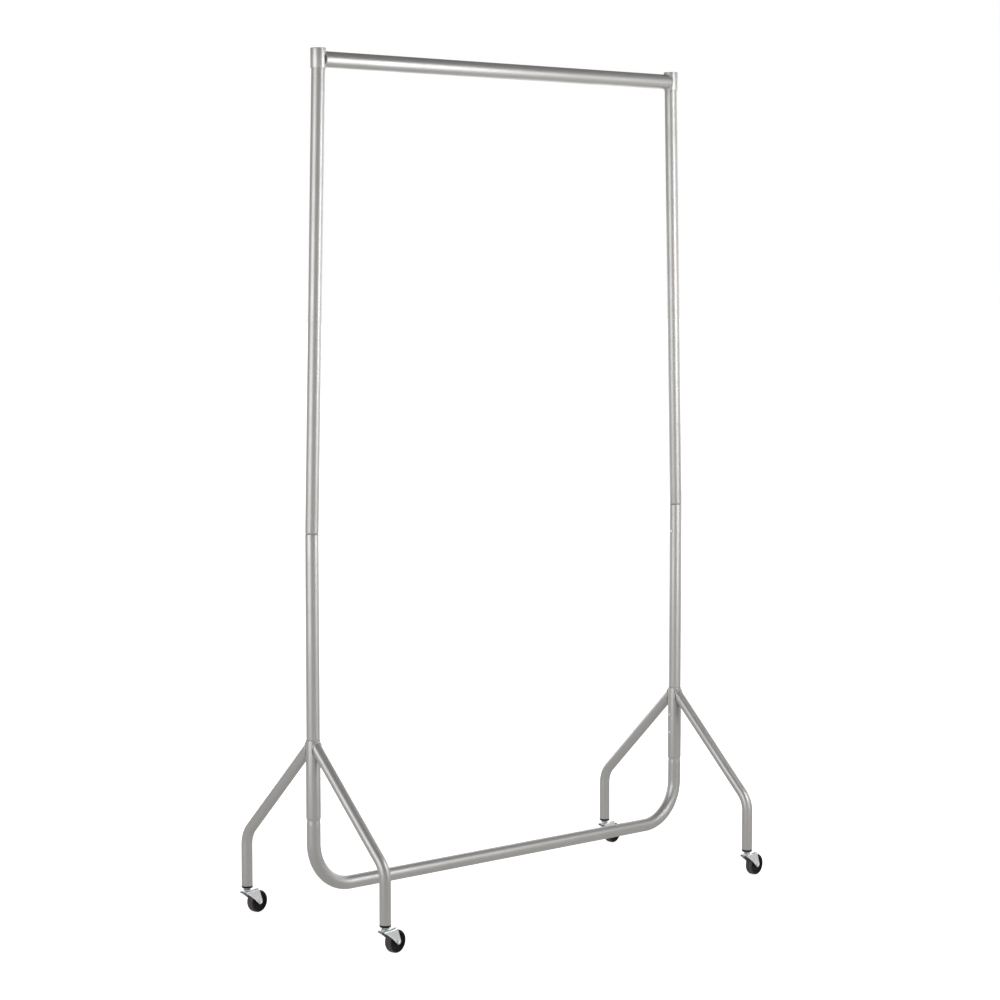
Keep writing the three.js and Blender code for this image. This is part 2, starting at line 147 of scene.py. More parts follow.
def silver_paint():
    """Satin metallic powder coat: fine flake, faint orange peel and a little unevenness."""
    material, nodes, links, shader = new_material("silver_paint")
    place = nodes.new("ShaderNodeTexCoord")
    flake = noise(nodes, links, place, 2600, 1.0)
    patches = noise(nodes, links, place, 9, 3.0)
    peel = noise(nodes, links, place, 620, 2.0)
    flake_tone = two_tone(nodes, links, spread(nodes, links, flake.outputs["Fac"], 0, 1).outputs[0],
                          (0.472, 0.468, 0.460), (0.622, 0.618, 0.612))
    patch_tone = nodes.new("ShaderNodeMix")
    patch_tone.data_type = "RGBA"
    patch_tone.blend_type = "MULTIPLY"
    patch_tone.inputs[7].default_value = (0.93, 0.925, 0.915, 1)
    links.new(spread(nodes, links, patches.outputs["Fac"], 0, 1).outputs[0], patch_tone.inputs["Factor"])
    links.new(flake_tone.outputs[2], patch_tone.inputs[6])
    links.new(patch_tone.outputs[2], shader.inputs["Base Color"])
    dullness = spread(nodes, links, patches.outputs["Fac"], 0.36, 0.43)
    links.new(dullness.outputs[0], shader.inputs["Roughness"])
    bump = relief(nodes, links, [(peel.outputs["Fac"], 1.0), (flake.outputs["Fac"], 0.25)], 0.12, 0.0004)
    links.new(bump.outputs["Normal"], shader.inputs["Normal"])
    shader.inputs["Metallic"].default_value = 0.72
    shader.inputs["Specular IOR Level"].default_value = 0.5
    return material


def zinc_plate():
    """Bright zinc plate over pressed steel, with faint rolling marks and dull patches."""
    material, nodes, links, shader = new_material("zinc_plate")
    place = nodes.new("ShaderNodeTexCoord")
    stretch = nodes.new("ShaderNodeMapping")
    stretch.inputs["Scale"].default_value = (1, 1, 14)
    links.new(place.outputs["Object"], stretch.inputs["Vector"])
    marks = nodes.new("ShaderNodeTexNoise")
    marks.inputs["Scale"].default_value = 180
    marks.inputs["Detail"].default_value = 4
    links.new(stretch.outputs["Vector"], marks.inputs["Vector"])
    clouds = noise(nodes, links, place, 110, 3.0)
    tone = two_tone(nodes, links, spread(nodes, links, clouds.outputs["Fac"], 0, 1).outputs[0],
                    (0.86, 0.90, 0.93), (0.97, 0.98, 0.99))
    links.new(tone.outputs[2], shader.inputs["Base Color"])
    links.new(spread(nodes, links, clouds.outputs["Fac"], 0.2, 0.36).outputs[0], shader.inputs["Roughness"])
    bump = relief(nodes, links, [(marks.outputs["Fac"], 0.5), (clouds.outputs["Fac"], 1.0)], 0.1, 0.0003)
    links.new(bump.outputs["Normal"], shader.inputs["Normal"])
    shader.inputs["Metallic"].default_value = 0.8
    return material


def black_plastic():
    """Moulded black plastic with a fine spark-eroded grain."""
    material, nodes, links, shader = new_material("black_plastic")
    place = nodes.new("ShaderNodeTexCoord")
    grain = noise(nodes, links, place, 2200, 2.0)
    lighter_tone = noise(nodes, links, place, 60, 3.0)
    tone = two_tone(nodes, links, spread(nodes, links, lighter_tone.outputs["Fac"], 0, 1).outputs[0],
                    (0.003, 0.003, 0.003), (0.008, 0.008, 0.008))
    links.new(tone.outputs[2], shader.inputs["Base Color"])
    links.new(spread(nodes, links, lighter_tone.outputs["Fac"], 0.38, 0.52).outputs[0], shader.inputs["Roughness"])
    shader.inputs["Specular IOR Level"].default_value = 0.16
    bump = relief(nodes, links, [(grain.outputs["Fac"], 1.0)], 0.15, 0.0002)
    links.new(bump.outputs["Normal"], shader.inputs["Normal"])
    return material


def tyre_rubber():
    """Dark rubber. The running face is painted a lighter grey-brown than the near-black side walls as painted
    light on the tread, and mottled with scuffs.
    """
    material, nodes, links, shader = new_material("tyre_rubber")
    place = nodes.new("ShaderNodeTexCoord")
    grain = noise(nodes, links, place, 900, 4.0, 0.6)
    scuffs = noise(nodes, links, place, 240, 4.0, 0.65)
    tone = two_tone(nodes, links, spread(nodes, links, scuffs.outputs["Fac"], 0, 1).outputs[0],
                    (0.042, 0.037, 0.038), (0.120, 0.106, 0.108))
    # The running face's lighter, scuffed tone is painted light on the tread; the side walls stay near black.
    lit_tread = nodes.new("ShaderNodeAttribute")
    lit_tread.attribute_name = PAINTED_TREAD_LIGHT_LAYER
    running = nodes.new("ShaderNodeMix")
    running.data_type = "RGBA"
    running.inputs[6].default_value = (0.004, 0.004, 0.004, 1)
    links.new(lit_tread.outputs["Fac"], running.inputs["Factor"])
    links.new(tone.outputs[2], running.inputs[7])
    links.new(running.outputs[2], shader.inputs["Base Color"])
    links.new(spread(nodes, links, scuffs.outputs["Fac"], 0.6, 0.85).outputs[0], shader.inputs["Roughness"])
    shader.inputs["Specular IOR Level"].default_value = 0.2
    bump = relief(nodes, links, [(grain.outputs["Fac"], 1.0), (scuffs.outputs["Fac"], 0.6)], 0.35, 0.0004)
    links.new(bump.outputs["Normal"], shader.inputs["Normal"])
    return material


MATERIALS = {
    "silver_paint": silver_paint(),
    "zinc_plate": zinc_plate(),
    "black_plastic": black_plastic(),
    "tyre_rubber": tyre_rubber(),
}


# Mesh making.

def finish_piece(name, bm, slot, body, nodes=(), place=None):
    """Makes an object of a bmesh, shades it, and hands it to the frame."""
    bmesh.ops.remove_doubles(bm, verts=bm.verts, dist=1e-7)
    bmesh.ops.dissolve_degenerate(bm, edges=bm.edges, dist=1e-8)
    bmesh.ops.recalc_face_normals(bm, faces=bm.faces)
    if place is not None:
        bm.transform(place)
    for face in bm.faces:
        face.smooth = True
    for edge in bm.edges:
        edge.smooth = len(edge.link_faces) == 2 and edge.calc_face_angle(0.0) < SHARP_ANGLE
    mesh = bpy.data.meshes.new(name)
    bm.to_mesh(mesh)
    bm.free()
    mesh.materials.append(MATERIALS[slot])
    piece = bpy.data.objects.new(name, mesh)
    bpy.context.scene.collection.objects.link(piece)
    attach(piece, body)
    if nodes:
        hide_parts(*nodes)
    return piece


def skin_rings(bm, rings, closed):
    """Joins rings of points with quads, and the last ring to the first one if closed."""
    made = [[bm.verts.new(point) for point in ring] for ring in rings]
    pairs = list(zip(made, made[1:]))
    if closed:
        pairs.append((made[-1], made[0]))
    for ring, following in pairs:
        for i in range(len(ring)):
            j = (i + 1) % len(ring)
            bm.faces.new((ring[i], ring[j], following[j], following[i]))


def rounded(section, closed, steps=4):
    """Replaces each corner (u, v, radius) of a section by an arc. A radius of 0 keeps the corner."""
    count = len(section)
    points = []
    for i, (u, v, radius) in enumerate(section):
        corner = Vector((u, v))
        if radius == 0 or (not closed and i in (0, count - 1)):
            points.append(corner)
            continue
        before = Vector(section[i - 1][:2]) - corner
        after = Vector(section[(i + 1) % count][:2]) - corner
        half = before.angle(after) / 2
        setback = min(radius / math.tan(half), 0.45 * before.length, 0.45 * after.length)
        radius = setback * math.tan(half)
        bisector = (before.normalized() + after.normalized()).normalized()
        centre = corner + bisector * (radius / math.sin(half))
        first = corner + before.normalized() * setback - centre
        turn = first.angle_signed(corner + after.normalized() * setback - centre)
        for step in range(steps + 1):
            arm = first.copy()
            arm.rotate(Matrix.Rotation(-turn * step / steps, 2))
            points.append(centre + arm)
    return points


def turned(section, sides=TUBE_SIDES, steps=4):
    """A round bmesh about Z from (radius, height, corner radius) points.

    A section that starts off the axis closes on itself.
    """
    closed = section[0][0] > 0
    bm = bmesh.new()
    angles = [2 * math.pi * i / sides for i in range(sides)]
    rings = [[Vector((r * math.cos(a), r * math.sin(a), z)) for a in angles]
             for r, z in rounded(section, closed, steps)]
    skin_rings(bm, rings, closed)
    return bm


class Route:
    """Straight runs and round bends through corner points that lie in one plane."""

    def __init__(self, corners, bend_radius):
        corners = [Vector(c) for c in corners]
        self.spans = []
        self.stations = [0.0]
        self.side = None
        here = corners[0]
        for before, corner, after in zip(corners, corners[1:], corners[2:]):
            inward, outward = (corner - before).normalized(), (after - corner).normalized()
            axis = inward.cross(outward).normalized()
            self.side = self.side or axis
            turn = inward.angle(outward)
            setback = bend_radius * math.tan(turn / 2)
            start = corner - inward * setback
            self._run(here, start)
            self._bend(start, inward, axis, turn, bend_radius)
            here = corner + outward * setback
        self._run(here, corners[-1])
        self.length = self.stations[-1]

    def _run(self, start, end):
        direction = (end - start).normalized()
        self.spans.append((self.stations[-1], lambda d: (start + direction * d, direction)))
        self.stations.append(self.stations[-1] + (end - start).length)

    def _bend(self, start, inward, axis, turn, radius):
        centre = start + axis.cross(inward) * radius

        def at(distance):
            spin = Matrix.Rotation(distance / radius, 3, axis)
            return centre + spin @ (start - centre), spin @ inward

        self.spans.append((self.stations[-1], at))
        steps = max(1, round(turn / BEND_STEP))
        first = self.stations[-1]
        self.stations += [first + radius * turn * step / steps for step in range(1, steps + 1)]

    def at(self, distance):
        begin, span = [s for s in self.spans if s[0] <= distance + 1e-9][-1]
        return span(distance - begin)

    def ring(self, distance, radius, sides):
        point, direction = self.at(distance)
        across = self.side.cross(direction)
        angles = [2 * math.pi * i / sides for i in range(sides)]
        return [point + (self.side * math.cos(a) + across * math.sin(a)) * radius for a in angles]


def tube_along(route, section, sides=TUBE_SIDES, steps=4, ends=None, reach=0.0):
    """A tube from a closed section of (distance, radius, corner radius) points.

    ends(point, direction) gives how far a point within reach of either end moves along the tube,
    for ends that aren't square.
    """
    points = rounded(section, True, steps)
    bm = bmesh.new()
    rings = []
    for i, here in enumerate(points):
        following = points[(i + 1) % len(points)]
        between = [s for s in route.stations if min(here.x, following.x) < s < max(here.x, following.x)]
        distances = [here.x, *sorted(between, reverse=following.x < here.x)]
        for distance in distances:
            share = 0 if following.x == here.x else (distance - here.x) / (following.x - here.x)
            ring = route.ring(distance, here.y + (following.y - here.y) * share, sides)
            if ends and min(distance, route.length - distance) < reach:
                direction = route.at(distance)[1]
                ring = [p + direction * ends(p, direction) for p in ring]
            rings.append(ring)
    skin_rings(bm, rings, True)
    return bm


def bead_along(points, radius, closed, ripple=0.1, ripple_pitch=3 * MM, sides=14):
    """A weld bead through the points, with the shallow ripples of a hand-run weld."""
    bm = bmesh.new()
    rings = []
    travelled = 0.0
    count = len(points)
    for i, point in enumerate(points):
        before = points[i - 1] if closed or i else point
        after = points[(i + 1) % count] if closed or i < count - 1 else point
        direction = (after - before).normalized()
        if rings:
            first = (previous - direction * previous.dot(direction)).normalized()
        else:
            first = direction.orthogonal().normalized()
        previous = first
        second = direction.cross(first)
        travelled += (point - points[i - 1]).length if i else 0.0
        swell = 1 + ripple * math.sin(2 * math.pi * travelled / ripple_pitch)
        taper = 1.0 if closed else min(1.0, 0.25 + 1.5 * min(i, count - 1 - i) / (0.2 * count))
        angles = [2 * math.pi * k / sides for k in range(sides)]
        rings.append([point + (first * math.cos(a) + second * math.sin(a)) * radius * swell * taper
                      for a in angles])
    skin_rings(bm, rings, closed)
    if not closed:
        bmesh.ops.holes_fill(bm, edges=[e for e in bm.edges if len(e.link_faces) == 1], sides=sides)
    return bm


# Places and sizes from the CAD boxes.

def middle(node):
    low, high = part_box(node)
    return (low + high) / 2


def radius_of(node):
    low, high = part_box(node)
    return (high.x - low.x) / 2


def span_of(node):
    low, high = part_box(node)
    return low.z, high.z


def axis_of(side, node="foot_sleeve"):
    """The axis of one side's upright piece, on the floor."""
    centre = middle(f"{node}_{side}")
    return Vector((centre.x, centre.y, 0))


upright_radius = radius_of("lower_upright_left")
cap_radius = radius_of("cap_sleeve_left")
sleeve_radius = radius_of("foot_sleeve_left")
leg_radius = radius_of("leg_front_left")
sleeve_low, sleeve_high = span_of("foot_sleeve_left")
splice_height = span_of("lower_upright_left")[1]


# The frame.

def lean_in(bm, side, start, high):
    """Leans an upright from its shoulder up, so that it meets its cap sleeve's axis inside the cap."""
    lean = axis_of(side, "cap_sleeve").x - axis_of(side).x
    meeting = (high + span_of(f"cap_sleeve_{side}")[0]) / 2
    for vertex in bm.verts:
        vertex.co.x += lean * max(vertex.co.z - start, 0) / (meeting - start)


def upright_tube(node, side, rim, spigot_radius, leaning=False):
    """A tube whose shoulder sits on the rim of the tube below."""
    low, high = span_of(node)
    outer, inner = upright_radius, upright_radius - WALL
    neck = rim + WELD_GAP
    bm = turned([
        (spigot_radius, low, RIM_ROUND),
        (spigot_radius, neck, 0.6 * MM),
        (outer, neck + SHOULDER, SHOULDER_ROUND),
        (outer, high, RIM_ROUND),
        (inner, high, RIM_ROUND),
        (inner, neck + SHOULDER, 0),
        (spigot_radius - WALL, neck, 0),
        (spigot_radius - WALL, low, RIM_ROUND),
    ])
    if leaning:
        lean_in(bm, side, neck + SHOULDER, high)
    finish_piece(f"{node}_tube", bm, "silver_paint", "frame", [node], Matrix.Translation(axis_of(side)))


def cap_sleeve(side):
    node = f"cap_sleeve_{side}"
    low, high = span_of(node)
    bm = turned([
        (cap_radius, low, 0.7 * MM),
        (cap_radius, high, 0.3 * MM),
        (cap_radius - WALL, high, 0),
        (cap_radius - WALL, low, RIM_ROUND),
    ])
    place = Matrix.Translation(axis_of(side, "cap_sleeve"))
    finish_piece(f"{node}_tube", bm, "silver_paint", "frame", [node], place)


def cap_plug(side):
    node = f"cap_plug_{side}"
    low, high = span_of(node)
    flange_low = span_of(f"cap_sleeve_{side}")[1]
    skirt = cap_radius - WALL - PLUG_GAP
    bm = turned([
        (0, flange_low + 0.3 * MM, 0),
        (skirt - 2 * MM, flange_low + 0.3 * MM, 0.3 * MM),
        (skirt - 2 * MM, low, 0.3 * MM),
        (skirt, low, 0.3 * MM),
        (skirt, flange_low + 0.05 * MM, 0),
        (cap_radius, flange_low + 0.05 * MM, 0.2 * MM),
        (cap_radius - 0.1 * MM, high - 0.4 * MM, 1.1 * MM),
        (cap_radius * 0.55, high - 0.02 * MM, 1.5 * MM),
        (0, high - 0.02 * MM, 0),
    ])
    place = Matrix.Translation(axis_of(side, "cap_sleeve"))
    finish_piece(f"{node}_disc", bm, "silver_paint", "frame", [node], place)


def foot_sleeve(side):
    node = f"foot_sleeve_{side}"
    outer, inner = sleeve_radius, sleeve_radius - WALL
    bm = turned([
        (outer - ROLL_DEPTH, sleeve_low, RIM_ROUND),
        (outer, sleeve_low + ROLL_LENGTH, 2.5 * MM),
        (outer, sleeve_high, 1.1 * MM),
        (inner, sleeve_high, 0.3 * MM),
        (inner, sleeve_low, 0.3 * MM),
    ])
    finish_piece(f"{node}_tube", bm, "silver_paint", "frame", [node], Matrix.Translation(axis_of(side)))


def top_rail():
    left, right = axis_of("left", "cap_sleeve"), axis_of("right", "cap_sleeve")
    height = middle("top_rail").z
    low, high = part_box("top_rail")
    outer = (high.z - low.z) / 2
    face = cap_radius + WELD_GAP
    start = Vector((left.x + face, left.y, height))
    end = Vector((right.x - face, right.y, height))
    route = Route([start, end], 0)
    route.side = Vector((0, 1, 0))

    def saddle(point, direction):
        """Moves a point of a square end back to the cap sleeve's round side."""
        across = min(abs(point.y - left.y), face)
        depth = face - max(math.sqrt(face * face - across * across), RAIL_SIDE_SETBACK)
        return depth if point.x > (left.x + right.x) / 2 else -depth

    length = route.length
    bm = tube_along(route, [
        (0, outer, RIM_ROUND),
        (length, outer, RIM_ROUND),
        (length, outer - WALL, RIM_ROUND),
        (0, outer - WALL, RIM_ROUND),
    ], ends=saddle, reach=5 * MM)
    finish_piece("top_rail_tube", bm, "silver_paint", "frame", ["top_rail"])

    for side, station in (("left", 0), ("right", length)):
        ring = route.ring(station, outer + 0.2 * MM, 96)
        points = [p + Vector((saddle(p, None), 0, 0)) for p in ring]
        bm = bead_along(points, 1.7 * MM, True)
        finish_piece(f"rail_weld_{side}", bm, "silver_paint", "frame")


def base_rail():
    left, right = axis_of("left"), axis_of("right")
    low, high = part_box("base_rail")
    outer = (high.y - low.y) / 2
    floor_run = low.z + outer
    spigot = sleeve_radius - WALL - PLUG_GAP
    neck = high.z - (sleeve_low - BASE_NECK)
    route = Route([
        left + UP * high.z, left + UP * floor_run, right + UP * floor_run, right + UP * high.z,
    ], BASE_BEND_RADIUS)
    length = route.length
    inner = outer - WALL
    bm = tube_along(route, [
        (0, spigot, RIM_ROUND),
        (neck, spigot, 0.8 * MM),
        (neck + BASE_SHOULDER, outer, 5 * MM),
        (length - neck - BASE_SHOULDER, outer, 5 * MM),
        (length - neck, spigot, 0.8 * MM),
        (length, spigot, RIM_ROUND),
        (length, spigot - WALL, RIM_ROUND),
        (length - neck, spigot - WALL, 0),
        (length - neck - BASE_SHOULDER, inner, 0),
        (neck + BASE_SHOULDER, inner, 0),
        (neck, spigot - WALL, 0),
        (0, spigot - WALL, RIM_ROUND),
    ])
    finish_piece("base_rail_tube", bm, "silver_paint", "frame", ["base_rail"])


def leg(corner):
    end, side = corner.split("_")
    node = f"leg_{corner}"
    foot = axis_of(side)
    low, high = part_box(node)
    forward = -1 if end == "front" else 1
    far = (low.y + leg_radius) if forward < 0 else (high.y - leg_radius)
    weld = foot + UP * (sleeve_high - LEG_WELD_DROP)
    cut = sleeve_radius + WELD_GAP
    slant_low = leg_bend_height(node)
    knee = Vector((foot.x, far, slant_low))
    route = Route([weld, knee, Vector((foot.x, far, low.z))], LEG_BEND_RADIUS)

    def mitre(point, direction):
        """Moves a point of the square upper end to the upright plane against the sleeve."""
        if point.z < sleeve_low:
            return 0.0
        return (cut - forward * (point.y - foot.y)) / abs(direction.y)

    length = route.length
    inner = leg_radius - WALL
    bm = tube_along(route, [
        (0, leg_radius, RIM_ROUND),
        (length, leg_radius, RIM_ROUND),
        (length, inner, RIM_ROUND),
        (0, inner, RIM_ROUND),
    ], ends=mitre, reach=5 * MM)
    finish_piece(f"{node}_tube", bm, "silver_paint", "frame", [node])

    direction = route.at(0)[1]
    ring = route.ring(0, leg_radius + 0.3 * MM, 96)
    rim = [p + direction * mitre(p, direction) for p in ring]
    crown = max(range(len(rim)), key=lambda i: rim[i].z)
    reach = 33
    points = [rim[(crown + k) % len(rim)] for k in range(-reach, reach + 1)]
    pulled = []
    for point in points:
        across = min(abs(point.x - foot.x), sleeve_radius)
        surface = math.sqrt(sleeve_radius ** 2 - across ** 2)
        pulled.append(Vector((point.x, foot.y + forward * (surface * 0.6 + cut * 0.4), point.z)))
    bm = bead_along(pulled, 2.4 * MM, False)
    finish_piece(f"leg_weld_{corner}", bm, "silver_paint", "frame")


def leg_bend_height(node):
    """Height where the leg's two straight runs would meet, read from the CAD solid's outer knee."""
    mesh = frame["nodes"][node].data
    low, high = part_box(node)
    side = low.y if abs(low.y) > abs(high.y) else high.y
    bend_end = max(v.co.z for v in mesh.vertices if abs(v.co.y - side) < 0.2 * MM)
    run = abs(side - middle("foot_sleeve_left").y) - leg_radius
    height = bend_end
    for _ in range(12):  # the bend's reach depends on its own angle, so this settles by steps
        slope_turn = math.atan2(run, sleeve_high - LEG_WELD_DROP - height)
        height = bend_end + LEG_BEND_RADIUS * math.tan(slope_turn / 2)
    return height


def screw(node, side):
    """A button-head screw with a hexagon socket, pointing away from the rack's middle."""
    low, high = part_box(node)
    centre = middle(node)
    inward = 1 if side == "left" else -1
    head_radius = (high.z - low.z) / 2
    face = high.x if inward > 0 else low.x
    depth = high.x - low.x
    bm = turned([
        (0, -depth, 0),
        (2.4 * MM, -depth, 0.4 * MM),
        (2.4 * MM, -2.1 * MM, 0),
        (head_radius, -2.1 * MM, 0.15 * MM),
        (head_radius, -1.5 * MM, 0.9 * MM),
        (head_radius * 0.62, -0.15 * MM, 1.2 * MM),
        (1.9 * MM, 0, 0.15 * MM),
        (1.6 * MM, -1.3 * MM, 0),
        (0, -1.5 * MM, 0),
    ], SMALL_SIDES)
    turn = Matrix.Rotation(math.radians(90 * inward), 4, "Y")
    place = Matrix.Translation(Vector((face, centre.y, centre.z))) @ turn
    finish_piece(f"{node}_head", bm, "zinc_plate", "frame", [node], place)


for side in SIDES:
    upright_tube(f"upper_upright_{side}", side, splice_height, upright_radius - WALL - PLUG_GAP, leaning=True)
    upright_tube(f"lower_upright_{side}", side, sleeve_high, sleeve_radius - WALL - PLUG_GAP)
    cap_sleeve(side)
    cap_plug(side)
    foot_sleeve(side)
    for kind in ("splice_screw", "sleeve_screw_upper", "sleeve_screw_lower"):
        screw(f"{kind}_{side}", side)
top_rail()
base_rail()
for corner in CORNERS:
    leg(corner)


# The casters, in their own frame: the swivel axis is Z and the wheel trails along +X.

JOINTS = {joint["name"]: joint for joint in frame["joints"]}


def caster_axes(corner):
    """The swivel's and the axle's points."""
    return [Vector(JOINTS[f"{corner}_{kind}"]["pos_m"]) for kind in ("swivel", "roll")]


def caster_place(corner):
    swivel, axle = caster_axes(corner)
    trail = axle - swivel
    turn = math.atan2(trail.y, trail.x)
    return Matrix.Translation(Vector((swivel.x, swivel.y, 0))) @ Matrix.Rotation(turn, 4, "Z")


def caster_sizes(corner):
    """The trail's length and the axle's height."""
    swivel, axle = caster_axes(corner)
    return math.hypot(axle.x - swivel.x, axle.y - swivel.y), axle.z


trail_length, axle_height = caster_sizes("front_left")
fork_high = span_of("caster_fork_front_left")[1]
SHEET = 1.8 * MM
CHEEK_OUTER = 12 * MM
FOLD = 3.6 * MM
FORK_LEAD = 14 * MM  # top plate in front of the swivel axis
FORK_HEEL = 5 * MM  # rear corner in front of the axle
FORK_RISE = 1.6 * MM  # the top plate's rear half slopes up by this
FORK_LOBE = 7 * MM  # round the axle
LIP_DEPTH = 6.5 * MM
EDGE_SAG = 1.8 * MM  # how far the cheek's lower edge bows in between tip and lobe
PANEL_DEPTH = 0.9 * MM
TREAD_WIDTH = 18 * MM
TYRE_DEPTH = 5 * MM


def cheek_outline(lobe_steps, sweep_steps=10):
    """The cheek's lower edge from the front tip, round the axle and up to the rear corner, as (x, z)."""
    tip = Vector((-FORK_LEAD, fork_high - LIP_DEPTH))
    rear = Vector((trail_length - FORK_HEEL, fork_high + 0.8 * MM))
    lobe = []
    for step in range(lobe_steps + 1):
        angle = math.radians(-138 + 154 * step / lobe_steps)
        lobe.append(Vector((trail_length, axle_height))
                    + FORK_LOBE * Vector((math.cos(angle), math.sin(angle))))
    chord = lobe[0] - tip
    upward = Vector((-chord.y, chord.x)).normalized()
    shares = [step / sweep_steps for step in range(sweep_steps)]
    sweep = [tip + chord * share + upward * EDGE_SAG * math.sin(math.pi * share) for share in shares]
    return [*sweep, *lobe, rear]


def resample(points, count):
    """Points evenly spaced along a polyline."""
    lengths = [0.0]
    for a, b in zip(points, points[1:]):
        lengths.append(lengths[-1] + (b - a).length)
    result = []
    for i in range(count):
        target = lengths[-1] * i / (count - 1)
        k = max(j for j in range(len(points) - 1) if lengths[j] <= target + 1e-12)
        share = (target - lengths[k]) / (lengths[k + 1] - lengths[k])
        result.append(points[k].lerp(points[k + 1], min(share, 1.0)))
    return result


def smooth_step(value):
    value = min(max(value, 0.0), 1.0)
    return value * value * (3 - 2 * value)


def caster_fork(corner):
    """One pressed sheet: a top plate folded down into two cheeks, each with a sunk panel."""
    outline = resample(cheek_outline(16), 61)
    columns = len(outline)
    cheek_rows, plate_rows = 18, 8
    half = CHEEK_OUTER - SHEET
    bm = bmesh.new()
    lines = []
    for i, bottom in enumerate(outline):
        share = i / (columns - 1)
        top = Vector((-FORK_LEAD + (trail_length - FORK_HEEL + FORK_LEAD) * share,
                      fork_high - SHEET - FORK_RISE + FORK_RISE * smooth_step((share - 0.55) / 0.45)))
        cheek = []
        for row in range(cheek_rows + 1):
            down = (row / cheek_rows) ** 1.3
            point = top.lerp(bottom, down)
            fallen = (top - point).length
            lateral = half - FOLD + math.sqrt(max(FOLD ** 2 - max(FOLD - fallen, 0) ** 2, 0))
            edge = min((bottom - point).length, 40 * MM)
            along = min(share, 1 - share) * 60 * MM
            panel = smooth_step((edge - 2.5 * MM) / (2.5 * MM)) * smooth_step((along - 2 * MM) / (6 * MM))
            panel *= smooth_step((fallen - 5 * MM) / (4 * MM))
            cheek.append(Vector((point.x, lateral - PANEL_DEPTH * panel, point.y)))
        plate = []
        for row in range(1, plate_rows):
            y = (half - FOLD) * (1 - 2 * row / plate_rows)
            plate.append(Vector((top.x, y, top.y)))
        near = [Vector((p.x, -p.y, p.z)) for p in cheek]
        lines.append(list(reversed(cheek)) + plate + near)
    made = [[bm.verts.new(p) for p in line] for line in lines]
    for line, following in zip(made, made[1:]):
        for j in range(len(line) - 1):
            bm.faces.new((line[j], line[j + 1], following[j + 1], following[j]))
    bmesh.ops.recalc_face_normals(bm, faces=bm.faces)
    bmesh.ops.solidify(bm, geom=bm.faces[:], thickness=SHEET)
    finish_piece(f"caster_fork_{corner}_pressing", bm, "zinc_plate", f"swivel_{corner}",
                 [f"caster_fork_{corner}"], caster_place(corner))


def wheel_place(corner):
    """The wheel's own frame: Z is the axle."""
    shift = Matrix.Translation(Vector((trail_length, 0, axle_height)))
    return caster_place(corner) @ shift @ Matrix.Rotation(math.radians(90), 4, "X")


def tyre(corner):
    tread = axle_height
    half = TREAD_WIDTH / 2
    seat = tread - TYRE_DEPTH
    bm = turned([
        (seat, -half, 0.3 * MM),
        (tread - 1.6 * MM, -half, 0.6 * MM),
        (tread - 0.25 * MM, -half * 0.72, 1.5 * MM),
        (tread, 0, 6 * MM),
        (tread - 0.25 * MM, half * 0.72, 1.5 * MM),
        (tread - 1.6 * MM, half, 0.6 * MM),
        (seat, half, 0.3 * MM),
    ], 96)
    # Painted light: this layer lightens the running face's colour, standing in for the light on the tread.
    lighter_tone = bm.verts.layers.float.new(PAINTED_TREAD_LIGHT_LAYER)
    for vertex in bm.verts:
        vertex[lighter_tone] = smooth_step((math.hypot(vertex.co.x, vertex.co.y) - tread + 3 * MM) / (2 * MM))
    finish_piece(f"tyre_{corner}_tread", bm, "tyre_rubber", f"wheel_{corner}", [f"tyre_{corner}"],
                 wheel_place(corner))


def wheel_core(corner):
    half = TREAD_WIDTH / 2
    seat = axle_height - TYRE_DEPTH - 0.05 * MM
    side = [
        (3.4 * MM, half + 0.2 * MM, 0.2 * MM),
        (7 * MM, half + 0.2 * MM, 0.5 * MM),
        (7.8 * MM, half - 2.6 * MM, 0.8 * MM),
        (seat - 3.8 * MM, half - 2.6 * MM, 0.8 * MM),
        (seat - 3 * MM, half - 0.5 * MM, 0.4 * MM),
        (seat, half - 0.5 * MM, 0.4 * MM),
    ]
    other = [(r, -z, c) for r, z, c in reversed(side)]
    bm = turned(side + other, 80)
    finish_piece(f"wheel_core_{corner}_moulding", bm, "black_plastic", f"wheel_{corner}",
                 [f"wheel_core_{corner}"], wheel_place(corner))


def axle_rivet(corner):
    head = CHEEK_OUTER + 0.1 * MM
    side = [
        (3 * MM, head, 0),
        (4.6 * MM, head, 0.15 * MM),
        (4.4 * MM, head + 1.0 * MM, 0.6 * MM),
        (2.4 * MM, head + 1.4 * MM, 0.6 * MM),
        (1.5 * MM, head + 0.7 * MM, 0.3 * MM),
        (0, head + 0.5 * MM, 0),
    ]
    other = [(r, -z, c) for r, z, c in reversed(side)]
    bm = turned(other + side, SMALL_SIDES)
    finish_piece(f"axle_rivet_{corner}_steel", bm, "zinc_plate", f"swivel_{corner}",
                 [f"axle_rivet_{corner}"], wheel_place(corner))


def caster_socket(corner):
    node = f"caster_socket_{corner}"
    low, high = span_of(node)
    leg_low = span_of(f"leg_{corner}")[0]
    outer = radius_of(node)
    body = leg_radius - WALL - PLUG_GAP
    bore = 4.6 * MM
    bm = turned([
        (bore, low, 0.4 * MM),
        (outer - 1.2 * MM, low, 1.0 * MM),
        (outer, leg_low - 1.2 * MM, 0.8 * MM),
        (outer, leg_low - 0.1 * MM, 0.3 * MM),
        (body, leg_low - 0.1 * MM, 0),
        (body, high, 0.8 * MM),
        (bore, high, 0.4 * MM),
    ], SMALL_SIDES)
    finish_piece(f"{node}_insert", bm, "black_plastic", "frame", [node], caster_place(corner))


